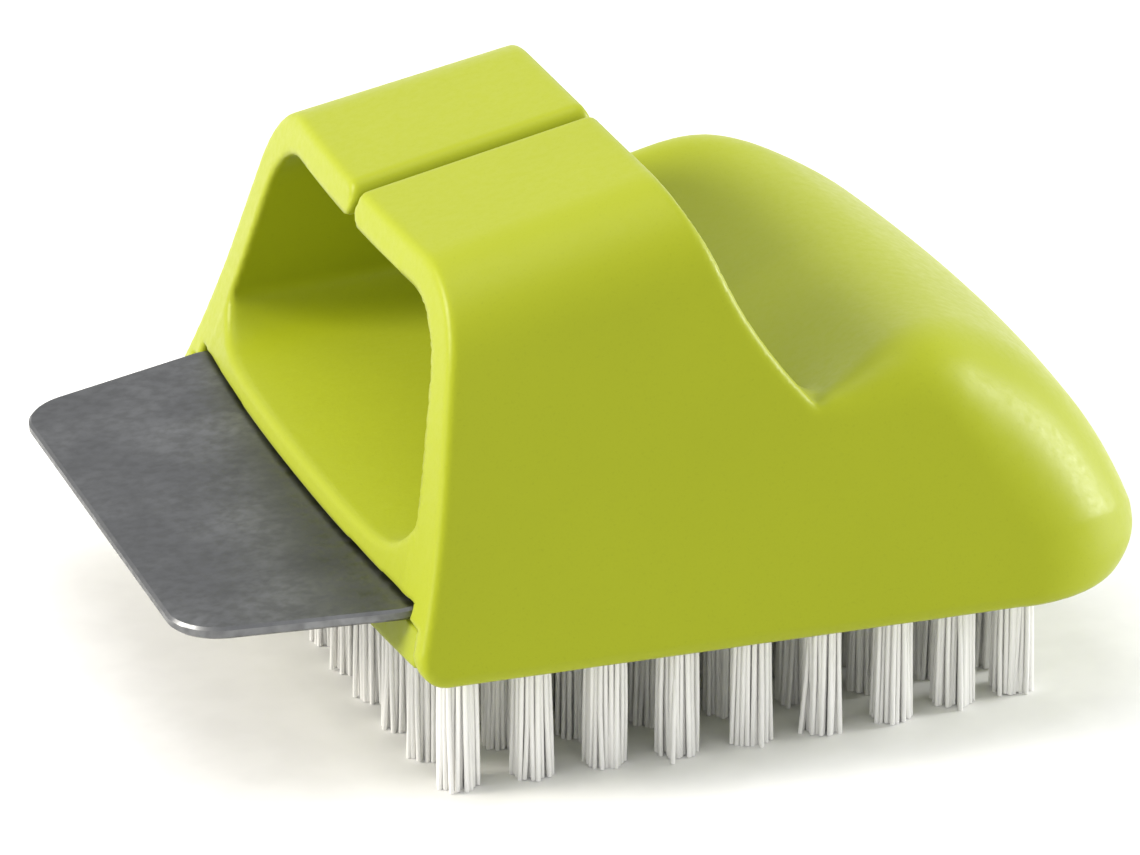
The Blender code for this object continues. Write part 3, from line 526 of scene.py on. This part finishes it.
def handle(x, y, z):
    """The whole handle: the loop merged with the body under the dish, less the pocket."""
    sides = face(plan, x, y, z)
    walls = face(lambda x, y, z: np.abs(y) - half_width(x, z), x, y, z)
    top = face(lambda x, y, z: z - loop_top(x), x, y, z)
    front = face(lambda x, y, z: front_x(y, z) - x, x, y, z)
    bottom = face(lambda x, y, z: SKIRT_BOTTOM - SKIRT_DROP * (1 - x / BODY_LENGTH) - z, x, y, z)
    tunnel_wall = face(
        lambda x, y, z: np.abs(y) - TUNNEL_HALF_WIDTH - SIDE_TAPER * x
        + TUNNEL_FLARE * (z - TUNNEL_WIDTH_AT), x, y, z,
    )
    tunnel_roof = face(lambda x, y, z: z - loop_top(x) + LOOP_THICKNESS, x, y, z)
    rear_edge = face(lambda x, y, z: x - loop_rear(z), x, y, z)
    slit = face(lambda x, y, z: SPLIT_WIDTH / 2 - np.abs(y), x, y, z)
    dish = face(lambda x, y, z: z - dish_height(x, y), x, y, z)
    behind = face(rear, x, y, z)

    ends = joined(front, bottom, SKIRT_CORNER)
    outside = joined(sides, top, LOOP_CORNER)
    inside = -joined(tunnel_wall, tunnel_roof, TUNNEL_CORNER)
    ring = joined(either(outside, inside), slit, SPLIT_EDGE)
    edge = np.where(outside[0] > inside[0], EDGE, MOUTH_EDGE)
    loop = joined(ring, either(ends, rear_edge), edge)
    shoulder = RIDGE_EDGE + smooth_through(x, SHOULDER_AT, SHOULDER_BLENDS)
    rest = softened(softened(dish, behind, CREST_BLEND), walls, shoulder)
    body = joined(rest, sides, CHEEK_EDGE)
    body = joined(body, ends, EDGE)
    hollow = HOLLOW_LEAST + HOLLOW_RADIUS * ease((-sides[0] - HOLLOW_START) / HOLLOW_GROWTH)
    return joined(merged(loop, body, hollow), -pocket(x, y, z), POCKET_EDGE)


# %% Mesh the handle
across = both_sides(grid_line(0.0, (4.0, 0.4), (30.0, 1.1), (55.0, 0.75)))
along = grid_line(-3.0, (14.0, 0.6), (35.0, 1.0), (53.0, 0.65), (97.0, 0.9))
upward = grid_line(14.5, (25.0, 0.5), (48.0, 0.8), (68.0, 0.6))
points, quads = meshed(handle, along, across, upward)
shell = piece("handle", points, quads)
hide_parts("handle_shell")


# %% [markdown]
# ## The brush block
#
# The tufts stand in a block of their own, moulded apart from the handle and screwed to it from
# below. Its plan is the handle's, set in by the skirt's wall and a gap. In front it steps down, and
# a sloping pad on the step carries the scraper's tang. Four round seats take the screws' heads.

# %% The brush block as a distance field
BLOCK_BOTTOM = 16.8
BLOCK_TOP = 24.0
BLOCK_RECESS = 0.8
BLOCK_EDGE = 0.5
BLOCK_CORNER = 0.15
SEAT_LEVEL = 20.2
SEAT_RADIUS = 3.2
TUFT_ROWS = 9
TUFT_COLUMNS = 11
TUFT_FIRST = 6.2
TUFT_PITCH = 9.2
TUFT_HALF_SPAN = 43.8
SCREW_CELLS = ((1.5, -4.5), (1.5, 4.5), (6.5, -2.5), (6.5, 2.5))
SCREW_PLACES = np.array([
    (TUFT_FIRST + TUFT_PITCH * row, TUFT_HALF_SPAN * 2 / (TUFT_COLUMNS - 1) * column)
    for row, column in SCREW_CELLS
])


def seats(x, y, z):
    """Outside the nearest of the four screw seats, which are open below."""
    away = [np.hypot(x - place[0], y - place[1]) for place in SCREW_PLACES]
    return np.minimum.reduce(away) - SEAT_RADIUS


def block(x, y, z):
    """Inside the walls, under the top behind the step and under the step or its pad before it, less
    the screws' seats."""
    sides = face(lambda x, y, z: plan(x, y, z, SKIRT_WALL + GAP), x, y, z)
    front = face(lambda x, y, z: front_x(y, z) + BLOCK_RECESS - x, x, y, z)
    bottom = face(lambda x, y, z: BLOCK_BOTTOM - z, x, y, z)
    top = face(lambda x, y, z: z - BLOCK_TOP, x, y, z)
    step_back = face(lambda x, y, z: BLOCK_STEP - x, x, y, z)
    step = face(lambda x, y, z: z - (BLADE_LEVEL - BLADE_THICKNESS - GAP), x, y, z)
    pad_top = face(lambda x, y, z: z - blade_top(x) + BLADE_THICKNESS + GAP, x, y, z)
    pad_side = face(lambda x, y, z: np.abs(y) - BLADE_ROOT_HALF, x, y, z)
    pad_end = face(lambda x, y, z: x - BLOCK_STEP - BLOCK_EDGE, x, y, z)
    pad = joined(either(pad_top, pad_end), pad_side, BLOCK_CORNER)
    stepped = merged(step, pad, BLOCK_CORNER)
    under = merged(joined(top, step_back, BLOCK_CORNER), stepped, BLOCK_CORNER)
    walls = joined(sides, front, BLOCK_EDGE)
    solid = joined(joined(walls, bottom, BLOCK_EDGE), under, BLOCK_CORNER)
    seat = face(seats, x, y, z)
    seat_top = face(lambda x, y, z: z - SEAT_LEVEL, x, y, z)
    return joined(solid, -either(seat, seat_top), BLOCK_CORNER)


# %% Mesh the block
across = both_sides(grid_line(0.0, (40.0, 0.9), (50.0, 0.5)))
along = grid_line(-4.0, (4.0, 0.4), (26.0, 0.7), (94.0, 0.9))
upward = grid_line(15.5, (25.5, 0.4))
points, quads = meshed(block, along, across, upward)
brush_block = piece("brush_block", points, quads)
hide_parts("base_plate")

# %% [markdown]
# ## The tufts
#
# A tuft is a few dozen nylon filaments folded over a wire anchor and driven into a drilled hole.
# Particles or geometry nodes could scatter them, but then they would have to be made real for the
# export. Here each filament is a thin six-sided tube, and all tubes of a row are worked out in one
# array. In a round hole filaments pack like the seeds of a sunflower: the k-th stands at the square
# root of k from the middle, turned by the golden angle. They spread a little on the way down, each
# leans and bends its own way, and the tips are cut nearly level.

# %% The tufts
FILAMENTS = 46
FILAMENT_RADIUS = 0.32
FILAMENT_SIDES = 6
TUFT_RADIUS = 2.2
ROOT_DEPTH = 1.5
TUFT_TOP = BLOCK_BOTTOM + ROOT_DEPTH
TUFT_BOW = 1.7
REAR_ROWS_POWER = 4
SPLAY = 1.14
LEAN = 0.16
LEAN_POWER = 1.5
STRAY_LEAN = 0.55
STRAY_SHARE = 0.06
BEND = 0.10
UNEVEN_TIPS = 0.10
GOLDEN_ANGLE = math.pi * (3 - math.sqrt(5))
REAR_DRAW = (0.0, 0.0, 0.0, 0.0, 0.0, 0.0, 0.01, 0.05, 0.07)
STATIONS = np.array([0.0, 0.3, 0.6, 0.85, 1.0])
FIRST_SEED = 40
FILAMENT_SHARP = math.radians(70)


def tuft_centres(row):
    """One row's tufts: bowed forward at the front and back at the rear, by one less the square of
    the place across. The rear rows stand forward again by a power of their place along."""
    share = 2 * row / (TUFT_ROWS - 1) - 1
    across = np.linspace(-1, 1, TUFT_COLUMNS)
    x = TUFT_FIRST + TUFT_PITCH * row + TUFT_BOW * share * (1 - across**2)
    x = x - TUFT_BOW * max(share, 0) ** REAR_ROWS_POWER
    return np.stack([x, across * TUFT_HALF_SPAN * (1 - REAR_DRAW[row])], axis=1)


def filaments(centres, chance):
    """Tubes as one array: tuft, filament, station down its length, corner round it, and x y z.

    A filament leans by a power of the way down and bends by the sine of a half turn along it.
    """
    k = np.arange(FILAMENTS)
    radius = TUFT_RADIUS * np.sqrt((k + 0.5) / FILAMENTS)
    turn = chance.uniform(0, 2 * math.pi, (len(centres), 1)) + k * GOLDEN_ANGLE
    root = radius[:, None] * np.stack([np.cos(turn), np.sin(turn)], axis=-1)
    shape = (len(centres), FILAMENTS, 2)
    stray = chance.random(shape[:2] + (1,)) < STRAY_SHARE
    lean = chance.normal(0, 1, shape) * np.where(stray, STRAY_LEAN, LEAN)
    bend = chance.normal(0, BEND, shape)
    t = STATIONS[:, None]
    spread = 1 + (SPLAY - 1) * t
    line = root[:, :, None] * spread + lean[:, :, None] * t**LEAN_POWER
    line = line + bend[:, :, None] * np.sin(math.pi * t) + centres[:, None, None]
    tip = np.abs(chance.normal(0, UNEVEN_TIPS, shape[:2]))[:, :, None]
    z = TUFT_TOP + (tip - TUFT_TOP) * STATIONS
    corner = 2 * math.pi * np.arange(FILAMENT_SIDES) / FILAMENT_SIDES
    ring = FILAMENT_RADIUS * np.stack([np.cos(corner), np.sin(corner)], axis=-1)
    flat = line[:, :, :, None] + ring
    height = np.broadcast_to(z[..., None, None], flat.shape[:-1] + (1,))
    return np.concatenate([flat, height], axis=-1)


def tube_faces(tubes, stations, sides):
    """Side quads and the two end caps of many tubes whose corners are numbered in order."""
    low = np.arange(stations - 1)[:, None] * sides + np.arange(sides)
    next_corner = np.roll(np.arange(sides), -1)
    high = np.arange(stations - 1)[:, None] * sides + next_corner
    quads = np.stack([low, low + sides, high + sides, high], axis=-1).reshape(-1, 4)
    first = np.arange(tubes)[:, None, None] * stations * sides
    caps = np.stack([np.arange(sides), (stations - 1) * sides + np.arange(sides)[::-1]])
    return (quads + first).reshape(-1, 4).tolist() + (caps + first).reshape(-1, sides).tolist()


tuft_rows = []
for row in range(TUFT_ROWS):
    tubes = filaments(tuft_centres(row), np.random.default_rng(FIRST_SEED + row))
    faces = tube_faces(TUFT_COLUMNS * FILAMENTS, len(STATIONS), FILAMENT_SIDES)
    tufts = piece(f"tufts_{row + 1}", tubes.reshape(-1, 3), faces)
    tufts.data.set_sharp_from_angle(angle=FILAMENT_SHARP)
    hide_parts(f"bristle_row_{row + 1}")
    tuft_rows.append(tufts)

# %% [markdown]
# ## The scraper
#
# A stamped stainless plate has one outline and a small chamfer all round. The outline is a few
# lines and arcs. Each ring of the mesh is that outline drawn in by some depth at some height, so
# four rings give the chamfers and the edge. The plate is drawn level and then laid on its slope.

# %% The scraper
TIP_HALF = 36.0
TIP_CORNER = 7.5
TANG_LENGTH = 16.0
TANG_CORNER = 3.0
CHAMFER = 0.35
ARC_STEPS = 24
TANG_STEPS = 8
PLATE_SHARP = math.radians(25)


def arc(centre, radius, start, end, steps):
    """Points on a circle from one angle to another."""
    angle = np.linspace(start, end, steps + 1)
    x, y = centre[0] + radius * np.cos(angle), centre[1] + radius * np.sin(angle)
    return np.stack([x, y], axis=1)


def scraper_outline():
    """One half from the tang to the tip, then its mirror image."""
    edge = math.atan2(BLADE_ROOT_HALF - TIP_HALF, BLADE_REACH)
    line_y = TIP_HALF + TIP_CORNER * math.tan(edge)
    centre = (TIP_CORNER - BLADE_REACH, line_y - TIP_CORNER / math.cos(edge))
    tang_centre = (TANG_LENGTH - TANG_CORNER, BLADE_ROOT_HALF - TANG_CORNER)
    tang = arc(tang_centre, TANG_CORNER, 0, math.pi / 2, TANG_STEPS)
    root = np.array([[0.0, BLADE_ROOT_HALF]])
    tip = arc(centre, TIP_CORNER, math.pi / 2 + edge, math.pi, ARC_STEPS)
    half = np.concatenate([tang, root, tip])
    return np.concatenate([half, half[::-1] * (1, -1)])


def drawn_in(outline, depth):
    """An outline moved inwards: each corner by its two normals' sum over one plus their cosine."""
    edge = np.roll(outline, -1, axis=0) - outline
    out = np.stack([edge[:, 1], -edge[:, 0]], axis=1) / np.hypot(*edge.T)[:, None]
    before = np.roll(out, 1, axis=0)
    corner = (out + before) / (1 + (out * before).sum(axis=1, keepdims=True))
    return outline - depth * corner


outline = scraper_outline()
levels = (
    (CHAMFER, 0.0),
    (0.0, -CHAMFER),
    (0.0, CHAMFER - BLADE_THICKNESS),
    (CHAMFER, -BLADE_THICKNESS),
)
plate = np.concatenate([
    np.column_stack([drawn_in(outline, depth), np.full(len(outline), z)])
    for depth, z in levels
])
lay = math.atan(BLADE_SLOPE)
plate = np.column_stack([
    plate[:, 0] * math.cos(lay) - plate[:, 2] * math.sin(lay),
    plate[:, 1],
    BLADE_LEVEL + plate[:, 0] * math.sin(lay) + plate[:, 2] * math.cos(lay),
])
faces = tube_faces(1, len(levels), len(outline))
scraper = piece("scraper", plate, faces)
scraper.data.set_sharp_from_angle(angle=PLATE_SHARP)
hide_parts("scraper_blade")

# %% [markdown]
# ## The screws
#
# Four self-tapping screws hold the block, heads down between the tufts. A screw is a surface of two
# parameters, the turn about its axis and the way along it. The thread is a ridge whose place moves
# on by one pitch per turn, and the cross recess is a dent in the round head.

# %% The screws
HEAD_RADIUS = 2.8
HEAD_HEIGHT = 2.1
SHANK_RADIUS = 1.15
THREAD_HEIGHT = 0.3
THREAD_PITCH = 1.1
SHANK_LENGTH = 9.0
CROSS_LENGTH = 1.5
CROSS_WIDTH = 0.45
CROSS_DEPTH = 1.1
CROSS_WALL = 0.15
CROSS_END = 0.5
HEAD_START = 0.03
SHANK_START = 1.05
POINT_SHARE = 0.15
POINT_LEAST = 0.02
TURN_STEPS = 48
HEAD_STEPS = 22
SHANK_STEPS = 60
SCREW_SHARP = math.radians(40)


def screw_surface(turn, way):
    """Radius and height: way 0 to 1 goes over the head to its rim, and the rest along the shank.

    The head stands off its rim by the root of one less the cube of the way over it. The thread's
    ridge is two thirds of a pitch wide, and highest where the way along the shank in pitches, less
    the turn in rounds, is half way between two whole numbers.
    """
    head = np.clip(way, 0, 1)
    radius = HEAD_RADIUS * head
    low = -HEAD_HEIGHT * np.sqrt(np.maximum(1 - head**3, 0))
    x, y = np.abs(radius * np.cos(turn)), np.abs(radius * np.sin(turn))
    narrow, long = np.minimum(x, y), np.maximum(x, y)
    dent = ease((CROSS_WIDTH - narrow) / CROSS_WALL) * ease((CROSS_LENGTH - long) / CROSS_END)
    low = np.where(way < 1, low + CROSS_DEPTH * dent, 0)
    along = np.clip((way - SHANK_START) / (2 - SHANK_START), 0, 1)
    ridge = np.abs(((along * SHANK_LENGTH / THREAD_PITCH - turn / (2 * math.pi)) % 1) - 0.5)
    thread = SHANK_RADIUS + THREAD_HEIGHT * np.maximum(1 - 3 * ridge, 0)
    thread = thread * np.clip((1 - along) / POINT_SHARE, POINT_LEAST, 1)
    shank = way > 1
    return np.where(shank, thread, radius), np.where(shank, along * SHANK_LENGTH, low)


turn = np.linspace(0, 2 * math.pi, TURN_STEPS, endpoint=False)[None, :]
over_head = np.linspace(HEAD_START, 1, HEAD_STEPS)
along_shank = np.linspace(SHANK_START, 2, SHANK_STEPS)
way = np.concatenate([over_head, along_shank])[:, None]
radius, height = screw_surface(turn, way)
screw = np.stack([radius * np.cos(turn), radius * np.sin(turn), height], axis=-1).reshape(-1, 3)
# The rings climb here, and fall in the tufts and the scraper, so the faces are turned round.
faces = [corners[::-1] for corners in tube_faces(1, len(way), TURN_STEPS)]
screws = []
for number, (x, y) in enumerate(SCREW_PLACES):
    made = piece(f"screw_{number + 1}", screw + (x, y, SEAT_LEVEL - GAP), faces)
    made.data.set_sharp_from_angle(angle=SCREW_SHARP)
    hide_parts(f"block_screw_{number + 1}")
    screws.append(made)

# %% [markdown]
# ## The finishes
#
# All patterns are procedural and read Object coordinates, in metres, so a noise scale of 3600 has
# grains of about 0.3 mm. Moulded plastic has a fine texture in its gloss, a faint speckle in its
# colour, and broad, barely seen changes of tone. Constants such as the specular level sit on the
# shader itself.

# %% Helpers for node materials
def finish(name, roughness, metallic=0.0, specular=0.5):
    """A new material: its node tree, its shader and the Object coordinates."""
    made = bpy.data.materials.new(name)
    made.use_nodes = True
    nodes = made.node_tree.nodes
    shader = nodes["Principled BSDF"]
    shader.inputs["Roughness"].default_value = roughness
    shader.inputs["Metallic"].default_value = metallic
    shader.inputs["Specular IOR Level"].default_value = specular
    return made, shader, nodes.new("ShaderNodeTexCoord").outputs["Object"]


def noise(made, where, scale, detail=2.0, stretch=None):
    """Noise at that scale, stretched by a Mapping node where the grain has a direction."""
    nodes, links = made.node_tree.nodes, made.node_tree.links
    texture = nodes.new("ShaderNodeTexNoise")
    texture.inputs["Scale"].default_value = scale
    texture.inputs["Detail"].default_value = detail
    if stretch:
        mapping = nodes.new("ShaderNodeMapping")
        mapping.inputs["Scale"].default_value = stretch
        links.new(where, mapping.inputs["Vector"])
        where = mapping.outputs["Vector"]
    links.new(where, texture.inputs["Vector"])
    return texture.outputs["Fac"]


def levels_of(made, value, low, high, to_low, to_high):
    """A Map Range node: the stretch from low to high becomes the one from to_low to to_high."""
    node = made.node_tree.nodes.new("ShaderNodeMapRange")
    ends = {"From Min": low, "From Max": high, "To Min": to_low, "To Max": to_high}
    for name, number in ends.items():
        node.inputs[name].default_value = number
    made.node_tree.links.new(value, node.inputs["Value"])
    return node.outputs["Result"]


def tinted(made, share, color_a, color_b):
    """A Mix node between two colours, or a colour and what another node gives."""
    links = made.node_tree.links
    node = made.node_tree.nodes.new("ShaderNodeMix")
    node.data_type = "RGBA"
    links.new(share, node.inputs["Factor"])
    for name, color in (("A", color_a), ("B", color_b)):
        socket = next(s for s in node.inputs if s.name == name and s.type == "RGBA")
        if isinstance(color, tuple):
            socket.default_value = (*color, 1)
        else:
            links.new(color, socket)
    return next(s for s in node.outputs if s.type == "RGBA")


def bumped(made, shader, height, strength, distance):
    """A Bump node on the shader's normal, with its distance in metres."""
    node = made.node_tree.nodes.new("ShaderNodeBump")
    node.inputs["Strength"].default_value = strength
    node.inputs["Distance"].default_value = distance
    made.node_tree.links.new(height, node.inputs["Height"])
    made.node_tree.links.new(node.outputs["Normal"], shader.inputs["Normal"])


def coated(made, shader, color, gloss=None):
    """What nodes give for the colour, and for the roughness where it varies, put on the shader."""
    made.node_tree.links.new(color, shader.inputs["Base Color"])
    if gloss is not None:
        made.node_tree.links.new(gloss, shader.inputs["Roughness"])


# %% Lime-green plastic
GRAIN_SCALE = 3600
GLOSS_SCALE = 900
TONE_SCALE = 38
DEEPER = 0.86
GRAIN_HEIGHT = 0.00006


def moulded_plastic(name, color, speck, roughness):
    """Satin plastic: broad tones between the colour and a deeper one, with specks on the grain's
    peaks and a roughness that wanders about its mean."""
    made, shader, where = finish(name, roughness, specular=0.25)
    grain = noise(made, where, GRAIN_SCALE, detail=3)
    specks = levels_of(made, grain, 0.58, 0.74, 0.0, 0.40)
    tone = levels_of(made, noise(made, where, TONE_SCALE), 0.3, 0.7, 0.0, 0.22)
    body = tinted(made, tone, color, tuple(DEEPER * c for c in color))
    speckled = tinted(made, specks, body, speck)
    shader.inputs["Sheen Weight"].default_value = 0.08
    shader.inputs["Sheen Roughness"].default_value = 0.4
    wander = noise(made, where, GLOSS_SCALE)
    gloss = levels_of(made, wander, 0.3, 0.7, roughness - 0.05, roughness + 0.06)
    coated(made, shader, speckled, gloss)
    bumped(made, shader, grain, 0.10, GRAIN_HEIGHT)
    return made


lime = moulded_plastic("lime_plastic", (0.325, 0.368, 0.008), (0.25, 0.295, 0.006), 0.40)
deep_lime = moulded_plastic("block_plastic", (0.30, 0.345, 0.007), (0.23, 0.28, 0.005), 0.45)
shell.data.materials.append(lime)
brush_block.data.materials.append(deep_lime)

# %% White nylon, stainless steel and zinc
STRAND_SCALE = 1500
DOWN_THE_STRAND = (1, 1, 0.03)
CLOUD_SCALE = 70
MOTTLE_SCALE = 620
STREAK_SCALE = 500
ACROSS_THE_PLATE = (1, 0.12, 1)
STREAK_HEIGHT = 0.00004
ZINC_SCALE = 1200

nylon, shader, where = finish("white_nylon", 0.34)
strand = noise(nylon, where, STRAND_SCALE, detail=1, stretch=DOWN_THE_STRAND)
duller = levels_of(nylon, strand, 0.35, 0.65, 0.0, 1.0)
color = tinted(nylon, duller, (0.93, 0.925, 0.90), (0.84, 0.835, 0.81))
coated(nylon, shader, color, levels_of(nylon, strand, 0.3, 0.7, 0.28, 0.42))
for tufts in tuft_rows:
    tufts.data.materials.append(nylon)

steel, shader, where = finish("rolled_stainless", 0.36, metallic=1.0)
cloud = noise(steel, where, CLOUD_SCALE, detail=4)
mottle = noise(steel, where, MOTTLE_SCALE, detail=4)
streak = noise(steel, where, STREAK_SCALE, detail=3, stretch=ACROSS_THE_PLATE)
patches = levels_of(steel, cloud, 0.38, 0.64, 0.0, 1.0)
color = tinted(steel, patches, (0.13, 0.134, 0.140), (0.215, 0.220, 0.226))
fine = levels_of(steel, mottle, 0.35, 0.65, 0.0, 0.55)
color = tinted(steel, fine, color, (0.105, 0.108, 0.112))
coated(steel, shader, color, levels_of(steel, mottle, 0.35, 0.65, 0.30, 0.46))
bumped(steel, shader, streak, 0.12, STREAK_HEIGHT)
scraper.data.materials.append(steel)

zinc, shader, where = finish("zinc_plating", 0.32, metallic=1.0)
grain = noise(zinc, where, ZINC_SCALE, detail=3)
color = tinted(zinc, grain, (0.62, 0.62, 0.60), (0.48, 0.48, 0.47))
coated(zinc, shader, color, levels_of(zinc, grain, 0.3, 0.7, 0.25, 0.42))
for made in screws:
    made.data.materials.append(zinc)

# %% [markdown]
# ## Light and floor
#
# The brush stands on a white floor. A large, slightly warm key light stands before the scraper, a
# little to the far side, so the loop's top and front rim are brightest and the long side wall is
# dimmer. The white surroundings fill the shadows, a weak lamp above softens them, and one behind
# the palm rest whitens it towards its edge.

# %% Lights, surroundings and floor
AIM = Vector((0, 0, 0.03))
SURROUNDINGS = 0.84
FLOOR_SIZE = 6
PAPER_SCALE = 120


def area_light(name, place, size, power, color=(1, 1, 1)):
    """A round lamp of that size in metres, turned to the middle of the brush."""
    lamp = bpy.data.lights.new(name, "AREA")
    lamp.shape = "DISK"
    lamp.size = size
    lamp.energy = power
    lamp.color = color
    obj = bpy.data.objects.new(name, lamp)
    bpy.context.scene.collection.objects.link(obj)
    obj.location = place
    obj.rotation_euler = (AIM - Vector(place)).to_track_quat("-Z", "Y").to_euler()


area_light("key", (-0.93, 0.25, 0.55), 0.5, 13.5, (1.0, 0.95, 0.86))
area_light("above", (-0.1, 0.1, 1.1), 0.8, 3.0)
area_light("right", (0.95, -0.05, 0.33), 0.45, 9.0)

world = bpy.data.worlds.new("studio")
bpy.context.scene.world = world
world.use_nodes = True
background = world.node_tree.nodes["Background"]
background.inputs["Color"].default_value = (1, 1, 1, 1)
background.inputs["Strength"].default_value = SURROUNDINGS
bpy.context.scene.view_settings.view_transform = "Standard"

bpy.ops.mesh.primitive_plane_add(size=FLOOR_SIZE)
floor = bpy.context.object
floor.name = "floor"
white, shader, where = finish("floor_white", 0.6, specular=0.3)
paper = levels_of(white, noise(white, where, PAPER_SCALE, detail=3), 0.4, 0.6, 0.0, 1.0)
coated(white, shader, tinted(white, paper, (0.87, 0.87, 0.865), (0.84, 0.84, 0.835)))
floor.data.materials.append(white)
